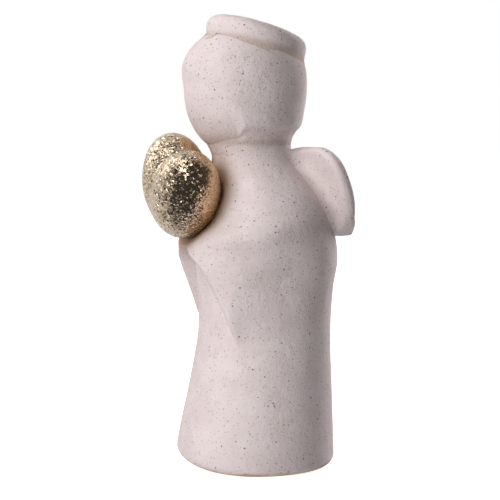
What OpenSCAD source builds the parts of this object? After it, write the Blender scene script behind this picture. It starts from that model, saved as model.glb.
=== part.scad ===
// Standing angel figurine: a hollow robe casting with the sleeves, wings, head, hair, halo and
// heart cast apart, located on dowels and bonded together. Millimetres. The figure faces -Y, its
// left hand is towards +X, and the origin is the middle of the foot, on the surface it stands on.

/* [Robe] */
// Width of the robe at the foot
foot_w = 55; // [53:0.5:57]
// Depth of the robe at the foot
foot_d = 45; // [44:0.5:46]
// Height of the neck's top face, where the head sits
neck_z = 93.5; // [93:0.5:94]
// Radius along the lower edge of the robe
foot_round = 2.4; // [1.8:0.1:3]
// Wall of the hollow casting
wall = 3.2; // [2.8:0.1:3.6]

/* [Sleeves] */
// Height of the hands
hand_z = 63.5; // [63:0.5:64.5]
// Height of the hanging tip of each sleeve
sleeve_tip_z = 35; // [34:0.5:37]
// How far the hands stand out of the robe
hand_out = 5.2; // [4.4:0.1:5.6]
// Depth of the pocket that each sleeve is bonded into
pocket = 1; // [0.8:0.1:1.2]

/* [Head] */
// Width of the face below the fringe
head_w = 34.6; // [34:0.2:35.4]
// Height of the middle of the head
head_z = 110.5; // [110:0.25:111]
// Thickness of the hair over the forehead
hair_t = 1; // [0.8:0.1:1.2]

/* [Halo] */
// Diameter of the halo, measured to the middle of its rim
halo_d = 23.6; // [23:0.2:24.2]
// Thickness of the halo's rim
halo_t = 6.2; // [5.8:0.1:6.4]
// How far the halo leans back
halo_tilt = 16.5; // [14:0.5:18]

/* [Heart] */
// Half of the heart's thickness
lobe_r = 10.1; // [9.8:0.1:10.6]
// Sideways lean of the heart in the hands
heart_lean = 16; // [10:1:18]

/* [Wings] */
// Direction of each wing, in degrees round from the front
wing_angle = 107; // [105:1:110]
// Reach of each wing from the middle of the back
wing_reach = 24.4; // [23:0.2:25]
// Thickness of each wing
wing_t = 4.2; // [4:0.2:4.6]

/* [Hidden] */

bisque = "#e6ddda";
brass_gold = "#c9a45c";
cork = "#b98d5e";
dowel_wood = "#d8bf95";

pad_t = 1.2;            // thickness of the pad under the foot
pad_proud = 0.4;        // how far the pad stands below the robe
pad_inset = 4.2;        // from the robe's side to the pad's edge
play = 0.05;            // radial room round a bonded dowel
seam = 0.1;             // room in a bonded seam
robe_n = 2.25;          // squareness of the robe's oval sections: 2 is an ellipse
head_around = 48;       // facets round the head

// Sections of the robe from foot to neck: [share of the height, share of the foot's half width,
// share of the foot's half depth, middle of the section in y].
robe_rows = [
    [0.00, 1.00, 1.00, 0.0],
    [0.05, 0.99, 0.99, 0.1],
    [0.22, 0.90, 0.91, 1.6],
    [0.40, 0.81, 0.84, 2.9],
    [0.54, 0.81, 0.86, 3.2],
    [0.64, 0.87, 0.90, 3.5],
    [0.72, 0.91, 0.855, 3.1],
    [0.80, 0.86, 0.75, 2.4],
    [0.875, 0.68, 0.65, 1.7],
    [0.94, 0.49, 0.53, -0.3],
    [1.00, 0.42, 0.51, -1.0]
];

/* Shared mathematics */
function clamp01(t) = min(1, max(0, t));
function smooth(a, b, x) = let (t = clamp01((x - a) / (b - a))) t * t * (3 - 2 * t);

// Radius of an oval at angle a round from the front
function oval(a, half_w, half_d, n) =
    pow(pow(abs(sin(a)) / half_w, n) + pow(abs(cos(a)) / half_d, n), -1 / n);

// A point at angle a and radius r round the axis x = 0, y = cy
function around_axis(a, r, cy, z) = [r * sin(a), cy - r * cos(a), z];

// Column c of a table of rows at height s, along a cubic curve through the rows
function row_slope(rows, k, c) =
    let (a = rows[max(0, k - 1)], b = rows[min(len(rows) - 1, k + 1)]) (b[c] - a[c]) / (b[0] - a[0]);
function row_below(rows, s, k = 0) =
    k >= len(rows) - 2 || s < rows[k + 1][0] ? k : row_below(rows, s, k + 1);
function row_at(rows, s, c) =
    let (k = row_below(rows, s), a = rows[k], b = rows[k + 1], w = b[0] - a[0], t = clamp01((s - a[0]) / w),
         u = 1 - t)
    a[c] * u * u * (1 + 2 * t) + b[c] * t * t * (1 + 2 * u)
    + w * t * u * (row_slope(rows, k, c) * u - row_slope(rows, k + 1, c) * t);

/* Robe */
function robe_y(z) = row_at(robe_rows, z / neck_z, 3);
function robe_half_w(z) = foot_w / 2 * row_at(robe_rows, z / neck_z, 1);
function robe_half_d(z) = foot_d / 2 * row_at(robe_rows, z / neck_z, 2);

function robe_r(a, z) = oval(a, robe_half_w(z), robe_half_d(z), robe_n);

// The sleeve: its front edge runs from the hand, near the middle of the chest, down and back to the
// tip, and its back edge fades into the side of the robe.
hand_angle = 4;
tip_angle = 54;
sleeve_back = 118;
tip_span = 44;
sleeve_low = sleeve_tip_z - 1.5;
sleeve_high = hand_z + 11;
function sleeve_edge(z) =
    hand_angle + (tip_angle - hand_angle) * pow(clamp01((hand_z - z) / (hand_z - sleeve_tip_z)), 0.65);
function sleeve_rear(z) =
    sleeve_back - (sleeve_back - tip_angle - tip_span) * pow(1 - smooth(sleeve_low, sleeve_low + 17, z), 2);
function sleeve_out(z) =
    3 + (hand_out - 3) * smooth(sleeve_tip_z, hand_z, z);
// How far the sleeve stands out of the robe, at share u of the way from its front edge to its back
function sleeve_relief(u, z) =
    let (t = clamp01(u / 0.06), top = hand_z - 1.5 + 4.5 * smooth(0, 0.6, u))
    sleeve_out(z) * sqrt(t * (2 - t)) * (1 - smooth(0.05, 1, u))
    * (1 - smooth(top, top + 8, z)) * smooth(sleeve_low + 12 * u, sleeve_low + 12 * u + 5, z);

// Columns of the robe's grid on one side, from the front to the back, at height z: the front panel,
// the sleeve's pocket, whose walls slope by lip degrees, and the back. They even out away from it.
lip = 0.5;
front_cols = 5;
sleeve_cols = 20;
back_cols = 8;
side_cols = front_cols + sleeve_cols + back_cols + 2;
function sleeve_share(i) = pow(i / sleeve_cols, 1.4);
function sleeve_angle(i, z, inset) =
    let (e = sleeve_edge(z) + inset) e + (sleeve_rear(z) - inset - e) * sleeve_share(i);
function side_angle(c, z) =
    c <= front_cols ? sleeve_edge(z) * c / front_cols
    : c <= front_cols + sleeve_cols + 1 ? sleeve_angle(c - front_cols - 1, z, lip)
    : sleeve_rear(z) + (180 - sleeve_rear(z)) * (c - side_cols + back_cols) / back_cols;
function evened(z) = max(smooth(sleeve_low, 0, z), smooth(sleeve_high, neck_z, z));
function column_angle(c, z) =
    let (a = side_angle(c, z)) a + (180 * c / side_cols - a) * evened(z);
function in_pocket(c) = c > front_cols && c <= front_cols + sleeve_cols + 1;

// Levels of the robe's skin: the rounded edge, up to the sleeve, the sleeve, and up to the neck
foot_steps = 4;
low_steps = 11;
sleeve_steps = 18;
high_steps = 8;
ledge = 0.25;
foot_levels = [for (k = [0:foot_steps - 1]) pad_proud + foot_round * (1 - cos(90 * k / foot_steps))];
low_levels = [for (k = [0:low_steps - 1])
    pad_proud + foot_round + (sleeve_low - pad_proud - foot_round) * k / low_steps];
sleeve_levels = [for (k = [0:sleeve_steps]) sleeve_low + (sleeve_high - sleeve_low) * k / sleeve_steps];
pocket_levels = [for (k = [0:sleeve_steps])
    k == 0 ? sleeve_low + ledge : k == sleeve_steps ? sleeve_high - ledge : sleeve_levels[k]];
high_levels = [for (k = [1:high_steps]) sleeve_high + (neck_z - sleeve_high) * k / high_steps];
function edge_inset(z) =
    let (t = clamp01((z - pad_proud) / foot_round)) foot_round * (1 - sqrt(1 - (1 - t) * (1 - t)));
function pad_r(a, room) = robe_r(a, 0) - pad_inset - room;
function robe_point(a, z, out) = around_axis(a, robe_r(a, z) - edge_inset(z) + out, robe_y(z), z);
function robe_ring(z, sunk) = concat(
    [for (c = [0:side_cols]) robe_point(column_angle(c, z), z, in_pocket(c) ? -sunk : 0)],
    [for (c = [side_cols - 1:-1:1]) robe_point(-column_angle(c, z), z, in_pocket(c) ? -sunk : 0)]);

/* Skins: a grid of points, rows upwards and columns round, closed by its flat first and last rows */
function quad_faces(k, i, n) =
    let (a = k * n + i, b = k * n + (i + 1) % n) [[a, a + n, b + n], [a, b + n, b]];
module skin(rows) {
    n = len(rows[0]);
    m = len(rows);
    polyhedron(
        points = [for (row = rows) each row],
        faces = concat(
            [for (k = [0:m - 2], i = [0:n - 1]) each quad_faces(k, i, n)],
            [[for (i = [0:n - 1]) i]],
            [[for (i = [0:n - 1]) m * n - 1 - i]]));
}

// A piece between two open grids of the same shape, closed all round their edges
module patch(outer, inner) {
    n = len(outer[0]);
    m = len(outer);
    last = (m - 1) * n;
    rim = concat([for (i = [0:n - 2]) i], [for (k = [0:m - 2]) k * n + n - 1],
        [for (i = [n - 1:-1:1]) last + i], [for (k = [m - 1:-1:1]) k * n]);
    tops = [for (k = [0:m - 2], i = [0:n - 2]) each quad_faces(k, i, n)];
    polyhedron(
        points = concat([for (row = outer) each row], [for (row = inner) each row]),
        faces = concat(tops,
            [for (f = tops) [for (v = [f[2], f[1], f[0]]) v + m * n]],
            [for (j = [0:len(rim) - 1]) let (v = rim[j], w = rim[(j + 1) % len(rim)])
                each [[v, w, w + m * n], [v, w + m * n, v + m * n]]]));
}

foot_angles = [for (c = [0:2 * side_cols - 1]) 180 * c / side_cols];
function angles(n) = [for (i = [0:n - 1]) 360 * i / n];

module robe_outside() {
    skin(concat(
        [for (z = [pad_t, pad_proud]) [for (a = foot_angles) around_axis(a, pad_r(a, 0), robe_y(0), z)]],
        [for (z = foot_levels) robe_ring(z, 0)],
        [for (z = low_levels) robe_ring(z, 0)],
        [robe_ring(sleeve_low, 0)],
        [for (z = pocket_levels) robe_ring(z, pocket)],
        [robe_ring(sleeve_high, 0)],
        [for (z = high_levels) robe_ring(z, 0)]));
}

cavity_low = 5;
cavity_top = 79;
cavity_around = 32;
module robe_cavity() {
    skin([for (z = [cavity_low:(cavity_top - cavity_low) / 14:cavity_top + 0.1])
        [for (a = angles(cavity_around)) robe_point(a, z, -wall - pocket)]]);
}

module robe_body() {
    color(bisque) difference() {
        robe_outside();
        robe_cavity();
        translate([0, 0, pad_t - 1]) cylinder(r = plug_r, h = cavity_low + 1, $fn = 64);
        translate([0, 0, pad_t - 1]) cylinder(r = plug_flange_r, h = plug_flange_t + 1, $fn = 64);
        neck_dowel_bore();
        wing_dowel_bores();
        heart_dowel_bore();
    }
}

module left_sleeve() {
    color(bisque) patch(
        [for (z = sleeve_levels) [for (i = [0:sleeve_cols])
            robe_point(sleeve_angle(i, z, 0), z, sleeve_relief(sleeve_share(i), z))]],
        [for (z = pocket_levels) [for (i = [0:sleeve_cols])
            robe_point(sleeve_angle(i, z, lip), z, -pocket)]]);
}
module right_sleeve() {
    mirror([1, 0, 0]) left_sleeve();
}

/* Base */
plug_r = 11;
plug_flange_r = 13;
plug_flange_t = 1.4;
module base_plug() {
    color(bisque) translate([0, 0, pad_t]) {
        cylinder(r = plug_flange_r - seam, h = plug_flange_t - seam, $fn = 64);
        cylinder(r = plug_r - seam, h = cavity_low - pad_t, $fn = 64);
    }
}

module foot_pad() {
    color(cork) translate([0, robe_y(0), 0]) linear_extrude(pad_t)
        polygon([for (a = angles(72)) let (r = pad_r(a, 0.3)) [r * sin(a), -r * cos(a)]]);
}

/* Head and hair */
head_y = -3.3;
head_up = 15.2;         // from the middle of the head to its crown
head_down = 20.8;       // and to where its lower curve would close, below the neck's face
head_n = 2.3;           // fullness of the head's profile: 2 is an ellipse
hair_bed = 0.8;         // how deep the hair is let into the head
nape_t = 2.4;           // thickness of the hair over the nape
fringe_z = 108.5;       // lower edge of the fringe
lock_from = 34;         // angle from the front where the fringe turns down
lock_to = 66;           // and where the side lock reaches the neck
hair_end = 1;           // from the neck's face up to the hair's end
crown_steps = 15;
face_steps = 6;

// Lower edge of the hair, and its thickness, which rounds off towards that edge
function hair_low(a) =
    let (s = a > 180 ? 360 - a : a)
    max(neck_z + hair_end, fringe_z - 14 * pow(clamp01((s - lock_from) / (lock_to - lock_from)), 2.2));
function hair_relief(a, z) =
    let (t = clamp01(0.03 + (z - hair_low(a)) / 2.4))
    (hair_t + (nape_t - hair_t) * smooth(101, neck_z, z)) * sqrt(t * (2 - t));

// Profile angles run from the neck's face, through the widest level, up to the crown
crown_tilt = 88;
function tilt_at(z) =
    z < head_z ? -asin(pow((head_z - z) / head_down, head_n / 2)) : asin(pow((z - head_z) / head_up, head_n / 2));
function head_level(t) = head_z + (t < 0 ? -head_down : head_up) * pow(abs(sin(t)), 2 / head_n);
function head_r(a, t) = oval(a, head_w / 2, head_w / 2, 2.1) * pow(cos(t), 2 / head_n);
// The head's point at angle a and profile angle t, moved out along its own direction
function head_point(a, t, out) =
    let (r = head_r(a, t), z = head_level(t), d = [r, max(0, z - head_z)], u = d / max(0.01, norm(d)))
    around_axis(a, r + out * u[0], head_y, z + out * u[1]);

// Rows of the face below the hair, and of the part that the hair covers, moved out by the hair
// (grow = 1), by none of it (0) or let in by its bed (-1)
function face_row(k) = [for (a = angles(head_around))
    let (t0 = tilt_at(neck_z), t1 = tilt_at(hair_low(a))) head_point(a, t0 + (t1 - t0) * k / face_steps, 0)];
function hair_row(k, grow) = [for (a = angles(head_around))
    let (t0 = tilt_at(hair_low(a)), t = t0 + (crown_tilt - t0) * k / crown_steps)
    head_point(a, t, grow > 0 ? hair_relief(a, head_level(t)) : grow * hair_bed)];

module head() {
    color(bisque) difference() {
        skin(concat(
            [for (k = [0:face_steps]) face_row(k)],
            [for (k = [0:crown_steps]) hair_row(k, -1)]));
        neck_dowel_bore();
    }
}

module hair() {
    color(bisque) skin(concat(
        [for (k = [crown_steps:-1:0]) hair_row(k, -1)],
        [for (k = [0:crown_steps]) hair_row(k, 1)]));
}

// The outside of the head with its hair on, which the halo is bedded on
module head_outside() {
    skin(concat([for (k = [0:face_steps - 1]) face_row(k)], [for (k = [0:crown_steps]) hair_row(k, 1)]));
}

/* Halo */
halo_y = 0.6;
halo_z = 123.6;
module halo() {
    color(bisque) difference() {
        translate([0, halo_y, halo_z]) rotate([-halo_tilt, 0, 0])
            rotate_extrude($fn = 72) translate([halo_d / 2, 0]) circle(d = halo_t, $fn = 32);
        head_outside();
    }
}

/* Wings */
wing_low = 66;
wing_top = 92.2;
wing_widest = 85;
wing_root_y = 20.5;     // where the wing's middle plane meets the figure's middle plane at its lower end
wing_lean = 0.43;       // how far that line moves forward for each millimetre up, as the back does
wing_steps = 22;
wing_edge_steps = 8;
wing_root_steps = 5;
wing_dir = [sin(wing_angle), -cos(wing_angle), 0];
wing_side = [cos(wing_angle), sin(wing_angle), 0];
function wing_y(z) = wing_root_y - wing_lean * (z - wing_low);
// A point d out along the wing from the middle of the back and h to its side
function wing_point(d, h, z) = [0, wing_y(z), z] + d * wing_dir + h * wing_side;
function wing_out(z) =
    z < wing_widest
    ? wing_reach - 11 * pow((wing_widest - z) / (wing_widest - wing_low), 2.3)
    : 14 + (wing_reach - 14) * pow(max(0, 1 - pow((z - wing_widest) / (wing_top + 0.4 - wing_widest), 2.6)), 1 / 2.6);
// Half thickness, rounded off along the top edge and a little along the bottom one
function wing_half(z) =
    let (t = clamp01((wing_top + 0.15 - z) / 2.4), b = clamp01((z - wing_low + 0.3) / 1.3))
    wing_t / 2 * sqrt(t * (2 - t)) * sqrt(b * (2 - b));
// Is a point inside the robe's skin, grown by the seam?
function in_robe(p, z) =
    let (x = p[0], y = robe_y(z) - p[1], a = atan2(x, y)) norm([x, y]) < robe_r(abs(a), z) + seam;
// Where a line along the wing leaves the robe, or the figure's middle plane where it lies outside
function spine(h) = (seam / 2 - h * wing_side[0]) / wing_dir[0];
function root(z, h, lo, hi = 34, k = 0) =
    let (mid = (lo + hi) / 2)
    k == 14 ? lo : in_robe(wing_point(mid, h, z), z) ? root(z, h, mid, hi, k + 1) : root(z, h, lo, mid, k + 1);
// The top edge dips towards the neck, so the highest slices start further out
function wing_in(z, h) = max(root(z, h, spine(h)), 8 - 8 * sqrt(clamp01((wing_top - z) / 1.6)));
function wing_slice(z) =
    let (h = wing_half(z), e = max(wing_out(z) - h, wing_in(z, h) + 0.5))
    concat(
        [for (k = [0:wing_edge_steps]) let (q = 90 - 180 * k / wing_edge_steps)
            wing_point(e + h * cos(q), h * sin(q), z)],
        [for (k = [0:wing_root_steps]) let (g = h * (2 * k / wing_root_steps - 1)) wing_point(wing_in(z, g), g, z)]);
module wing_blank() {
    skin([for (k = [0:wing_steps]) let (z = wing_low + (wing_top - wing_low) * (1 - pow(1 - k / wing_steps, 1.5)))
        wing_slice(z)]);
}
module left_wing() {
    color(bisque) difference() {
        wing_blank();
        wing_dowel_bores();
    }
}
module right_wing() {
    mirror([1, 0, 0]) left_wing();
}

/* Heart: two egg-shaped lobes that lean apart, run together at the point and bed on the chest */
heart_y = -22.1;
heart_z = 81.6;
heart_nod = 4.5;        // the point stands forward of the lobes
lobe_x = 5.1;           // from the middle to the centre of each lobe
lobe_z = -1.6;
lobe_lean = 30;
lobe_w = 10.2;          // half width of a lobe across its length
lobe_l = 15.2;          // half length of a lobe
lobe_merge = 0.16;      // how softly the lobes run together
heart_sides = 48;
heart_bands = 24;
heart_steps = 13;
function lobe(p, side) =
    let (x = p[0] - side * lobe_x, z = p[2] - lobe_z, c = cos(lobe_lean), s = side * sin(lobe_lean))
    norm([(x * c - z * s) / lobe_w, p[1] / lobe_r, (x * s + z * c) / lobe_l]) - 1;
function merged(a, b, k) = min(a, b) - pow(max(k - abs(a - b), 0), 2) / (4 * k);
function turn_x(p, t) = [p[0], p[1] * cos(t) - p[2] * sin(t), p[1] * sin(t) + p[2] * cos(t)];
function turn_y(p, t) = [p[0] * cos(t) + p[2] * sin(t), p[1], p[2] * cos(t) - p[0] * sin(t)];
function heart_place(p) = [0, heart_y, heart_z] + turn_x(turn_y(p, heart_lean), heart_nod);
function in_heart(p) = merged(lobe(p, 1), lobe(p, -1), lobe_merge) < 0 && !in_robe(heart_place(p), heart_place(p)[2]);
function heart_r(d, lo = 4, hi = 24, k = 0) =
    let (mid = (lo + hi) / 2)
    k == heart_steps ? lo : in_heart(mid * d) ? heart_r(d, mid, hi, k + 1) : heart_r(d, lo, mid, k + 1);
module heart_shape() {
    skin([for (k = [0:heart_bands]) let (q = -88 + 176 * k / heart_bands)
        [for (f = [0:360 / heart_sides:359]) let (d = [cos(q) * cos(f), -sin(q), cos(q) * sin(f)])
            heart_place(heart_r(d) * d)]]);
}
module heart() {
    color(brass_gold) difference() {
        heart_shape();
        heart_dowel_bore();
    }
}

/* Dowels and the bores that take them */
module neck_dowel() {
    color(dowel_wood) translate([0, head_y + 1.5, neck_z - 8]) cylinder(r = 3, h = 16, $fn = 48);
}
module neck_dowel_bore() {
    translate([0, head_y + 1.5, neck_z - 8 - play]) cylinder(r = 3 + play, h = 16 + 2 * play, $fn = 48);
}

wing_dowel_z = 76;
wing_dowel_from = 3.3;
wing_dowel_l = 10;
wing_dowel_r = 1;
module along_wing(side) {
    mirror([side > 0 ? 0 : 1, 0, 0]) translate([0, wing_y(wing_dowel_z), wing_dowel_z]) rotate([0, 0, wing_angle - 90])
        rotate([0, 90, 0]) children();
}
module wing_dowels() {
    color(dowel_wood) for (side = [1, -1]) along_wing(side)
        translate([0, 0, wing_dowel_from]) cylinder(r = wing_dowel_r, h = wing_dowel_l, $fn = 32);
}
module wing_dowel_bores() {
    for (side = [1, -1]) along_wing(side)
        translate([0, 0, wing_dowel_from - play])
            cylinder(r = wing_dowel_r + play, h = wing_dowel_l + 2 * play, $fn = 32);
}

heart_dowel_z = 82;
heart_dowel_from = 6.5;
heart_dowel_l = 11;
heart_dowel_r = 1.5;
module along_chest() {
    translate([0, 0, heart_dowel_z]) rotate([90, 0, 0]) children();
}
module heart_dowel() {
    color(dowel_wood) along_chest() translate([0, 0, heart_dowel_from])
        cylinder(r = heart_dowel_r, h = heart_dowel_l, $fn = 32);
}
module heart_dowel_bore() {
    along_chest() translate([0, 0, heart_dowel_from - play])
        cylinder(r = heart_dowel_r + play, h = heart_dowel_l + 2 * play, $fn = 32);
}

robe_body();
left_sleeve();
right_sleeve();
head();
hair();
halo();
left_wing();
right_wing();
heart();
neck_dowel();
wing_dowels();
heart_dowel();
base_plug();
foot_pad();
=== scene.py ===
# %% [markdown]
# # A speckled angel holding a gilt heart
# The figurine is a matte, sand-grained casting with dark specks, and the heart at its chest has a
# sparkling metal lustre. The CAD frame fixes every size. This lesson rebuilds each visible
# piece as a smooth surface worked out from the same few dimensions, and gives it its finish.

# %% The frame from model.glb
import bpy
import numpy as np
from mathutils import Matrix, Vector


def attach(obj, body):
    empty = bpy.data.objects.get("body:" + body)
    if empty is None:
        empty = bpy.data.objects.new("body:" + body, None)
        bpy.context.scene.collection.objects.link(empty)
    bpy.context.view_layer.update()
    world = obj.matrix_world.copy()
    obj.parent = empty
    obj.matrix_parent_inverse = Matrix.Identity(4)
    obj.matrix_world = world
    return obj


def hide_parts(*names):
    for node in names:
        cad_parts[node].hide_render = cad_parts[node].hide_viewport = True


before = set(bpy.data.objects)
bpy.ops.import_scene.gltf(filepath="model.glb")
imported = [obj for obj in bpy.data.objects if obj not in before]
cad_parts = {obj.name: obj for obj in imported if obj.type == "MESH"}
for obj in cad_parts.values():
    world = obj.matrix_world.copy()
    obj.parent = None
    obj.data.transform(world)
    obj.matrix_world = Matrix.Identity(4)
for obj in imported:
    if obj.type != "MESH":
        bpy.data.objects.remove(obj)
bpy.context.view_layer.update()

MM = 0.001

# %% [markdown]
# ## Camera
# The figurine is seen nearly from its own left, a little from the front and just above its middle.
# A camera can be placed by hand, or by two angles and a distance round a point. Angles are easier
# to read and to change, so this cell turns them into a place.

# %% Camera
CAMERA_AZIMUTH, CAMERA_ELEVATION, CAMERA_DISTANCE = 73.0, 5.4, 379 * MM
CAMERA_TARGET, LENS = Vector((-0.4, -1.2, 61.8)) * MM, 92.5


def direction(azimuth, elevation):
    """Unit vector to a viewpoint: azimuth 0 is in front of the figure, 90 is at its left hand."""
    a, e = np.radians(azimuth), np.radians(elevation)
    return Vector((np.sin(a) * np.cos(e), -np.cos(a) * np.cos(e), np.sin(e)))


def aim(thing, place, target):
    """Puts a camera or a light at a place and turns its -Z axis towards the target."""
    thing.location = place
    thing.rotation_euler = (target - place).to_track_quat("-Z", "Y").to_euler()


camera = bpy.data.objects.new("camera", bpy.data.cameras.new("camera"))
bpy.context.scene.collection.objects.link(camera)
camera.data.lens = LENS
camera.data.clip_start = 0.01
aim(camera, CAMERA_TARGET + CAMERA_DISTANCE * direction(CAMERA_AZIMUTH, CAMERA_ELEVATION), CAMERA_TARGET)
bpy.context.scene.camera = camera
print("camera at", [round(v, 3) for v in camera.location])

# %% [markdown]
# ## Numbers that several shapes share
# A robe could be sculpted or lofted between circles. Here it is an oval whose half width and half
# depth change with height, so one short table of rows, joined by a smooth curve, describes it
# all. The same helpers serve the sleeves, the head and the wings.

# %% Smooth steps, ovals and rows
def smooth(a, b, x):
    """0 below a, 1 above b, and an S-shaped curve between them."""
    t = np.clip((x - a) / (b - a), 0, 1)
    return t * t * (3 - 2 * t)


def rounded(t):
    """Height of a quarter circle over t from 0 to 1: steep at 0 and level at 1."""
    t = np.clip(t, 0, 1)
    return np.sqrt(t * (2 - t))


def oval(angle, half_w, half_d, n):
    """Radius of a squared-off oval at an angle round from the front: the power n is 2 for an ellipse."""
    return ((np.abs(np.sin(angle)) / half_w) ** n + (np.abs(np.cos(angle)) / half_d) ** n) ** (-1 / n)


def along_rows(rows, s, column):
    """Value of one column at share s of the height, on a cubic curve whose slope at each row is
    that of the line between the rows on either side of it."""
    x, y = rows[:, 0], rows[:, column]
    before, after = np.maximum(np.arange(len(x)) - 1, 0), np.minimum(np.arange(len(x)) + 1, len(x) - 1)
    slope = (y[after] - y[before]) / (x[after] - x[before])
    k = np.clip(np.searchsorted(x, s, side="right") - 1, 0, len(x) - 2)
    w = x[k + 1] - x[k]
    t = np.clip((s - x[k]) / w, 0, 1)
    u = 1 - t
    return (y[k] * u * u * (1 + 2 * t) + y[k + 1] * t * t * (1 + 2 * u)
            + w * t * u * (slope[k] * u - slope[k + 1] * t))


def around_axis(angle, r, middle_y, z):
    """Points at a distance r from the upright axis through (0, middle_y)."""
    r, z = np.broadcast_arrays(r, z)
    return np.stack(np.broadcast_arrays(r * np.sin(angle), middle_y - r * np.cos(angle), z), axis=-1)


print("a smooth step, a quarter of the way:", smooth(0, 1, 0.25))

# %% The robe's driving dimensions, in millimetres
FOOT_W, FOOT_D, NECK_Z = 55.0, 45.0, 93.5
FOOT_ROUND, PAD_PROUD, PAD_T, PAD_INSET = 2.4, 0.4, 1.2, 4.2
ROBE_SQUARENESS = 2.25
# Each row: share of the height, share of the foot's half width and half depth, middle of the oval in y
ROBE_ROWS = np.array([
    [0.00, 1.00, 1.00, 0.0],
    [0.05, 0.99, 0.99, 0.1],
    [0.22, 0.90, 0.91, 1.6],
    [0.40, 0.81, 0.84, 2.9],
    [0.54, 0.81, 0.86, 3.2],
    [0.64, 0.87, 0.90, 3.5],
    [0.72, 0.91, 0.855, 3.1],
    [0.80, 0.86, 0.75, 2.4],
    [0.875, 0.68, 0.65, 1.7],
    [0.94, 0.49, 0.53, -0.3],
    [1.00, 0.42, 0.51, -1.0]])


def robe_y(z):
    """Middle of the robe's oval at height z."""
    return along_rows(ROBE_ROWS, np.asarray(z) / NECK_Z, 3)


def robe_radius(angle, z):
    """Distance of the robe's skin from its own axis."""
    s = np.asarray(z) / NECK_Z
    return oval(angle, FOOT_W / 2 * along_rows(ROBE_ROWS, s, 1), FOOT_D / 2 * along_rows(ROBE_ROWS, s, 2),
                ROBE_SQUARENESS)


def outside_robe(points):
    """How far points lie outside the robe's skin, measured level with them."""
    x, y, z = points[..., 0], robe_y(points[..., 2]) - points[..., 1], points[..., 2]
    return np.hypot(x, y) - robe_radius(np.arctan2(x, y), z)


print("robe radius at the waist:", robe_radius(np.array([0.0, np.pi / 2]), 38.0).round(1))

# %% [markdown]
# ## Turning grids of points into pieces
# Blender can revolve a curve or fill a curve network, but these forms are ovals with relief that
# changes all over, so each is a grid of points from a formula. Two builders are enough: a skin
# that closes round on itself and ends in a pole at each end, and a patch that has two sides.

# %% Mesh builders
def make_piece(name, points, quads, triangles):
    """A mesh object at the origin from points in millimetres, with smooth shading."""
    mesh = bpy.data.meshes.new(name)
    mesh.from_pydata((points * MM).tolist(), [], quads.tolist() + triangles.tolist())
    mesh.shade_smooth()
    mesh.update()
    piece = bpy.data.objects.new(name, mesh)
    bpy.context.scene.collection.objects.link(piece)
    print(f"{name}: {len(points)} points, {2 * len(quads) + len(triangles)} triangles")
    return piece


def grid_quads(rows, columns, wraps):
    """Corner numbers of every cell of a grid, turned so that right and then up face outwards."""
    k, i = np.meshgrid(np.arange(rows - 1), np.arange(columns if wraps else columns - 1), indexing="ij")
    a, b = k * columns + i, k * columns + (i + 1) % columns
    return np.stack([a, b, b + columns, a + columns], axis=-1).reshape(-1, 4)


def skin(name, grid):
    """A closed piece from rows of points that run round it: the first and last rows close on a pole."""
    rows, columns = grid.shape[:2]
    points = np.concatenate([grid.reshape(-1, 3), [grid[0].mean(axis=0)], [grid[-1].mean(axis=0)]])
    i = np.arange(columns)
    j, low, high = (i + 1) % columns, len(points) - 2, len(points) - 1
    last = (rows - 1) * columns
    fans = np.concatenate([np.stack([j, i, np.full_like(i, low)], 1),
                           np.stack([last + i, last + j, np.full_like(i, high)], 1)])
    return make_piece(name, points, grid_quads(rows, columns, True), fans)


def patch(name, outer, inner):
    """A closed piece between an outer and an inner grid, joined all round their edges."""
    rows, columns = outer.shape[:2]
    index = np.arange(rows * columns).reshape(rows, columns)
    rim = np.concatenate([index[0, :-1], index[:-1, -1], index[-1, :0:-1], index[:0:-1, 0]])
    next_rim, under = np.roll(rim, -1), rows * columns
    quads = grid_quads(rows, columns, False)
    sides = np.stack([rim + under, next_rim + under, next_rim, rim], axis=1)
    points = np.concatenate([outer.reshape(-1, 3), inner.reshape(-1, 3)])
    return make_piece(name, points, np.concatenate([quads, quads[:, ::-1] + under, sides]),
                      np.zeros((0, 3), int))


# %% Marks on a piece, and its place in the frame
def mark(piece, name, values):
    """Stores one number a point, which a material reads as an attribute. Points past the values get 0."""
    stored = np.zeros(len(piece.data.vertices), np.float32)
    stored[:values.size] = values.ravel()
    piece.data.attributes.new(name, "FLOAT", "POINT").data.foreach_set("value", stored)


def stand_for(piece, node):
    """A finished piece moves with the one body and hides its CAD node."""
    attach(piece, "root")
    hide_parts(node)


# %% Hand-made unevenness
SCATTER, MIX, SHIFT_APART = (73856093, 19349663, 83492791), 1274126177, 17.31


def lumps(points, size, seed):
    """Smooth noise from -1 to 1: each corner of a lattice of cubes has a number that comes from its
    own place, times large primes, and a point between corners blends the eight round it."""
    p = points / size + seed * SHIFT_APART
    cell = np.floor(p).astype(np.int64)
    t = smooth(0, 1, p - cell)
    total = np.zeros(points.shape[:-1])
    for corner in np.ndindex(2, 2, 2):
        c = cell + corner
        h = (c[..., 0] * SCATTER[0]) ^ (c[..., 1] * SCATTER[1]) ^ (c[..., 2] * SCATTER[2])
        h = ((h ^ (h >> 13)) * MIX) & 0x7FFFFFFF
        weight = np.prod(np.where(corner, t, 1 - t), axis=-1)
        total += weight * ((h % 65536) / 32767.5 - 1)
    return total


print("lumps at the origin:", float(lumps(np.zeros((1, 3)), 5.0, 1)[0]).__round__(3))

# %% [markdown]
# ## The shapes of the head and the hair
# The robe's neck runs up against the head, so the head's form comes first. It is a squared-off
# ellipse in profile and almost a circle in plan. The hair is a height over it that starts from a
# curved edge: level over the forehead, then down past the cheeks to the nape.

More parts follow.
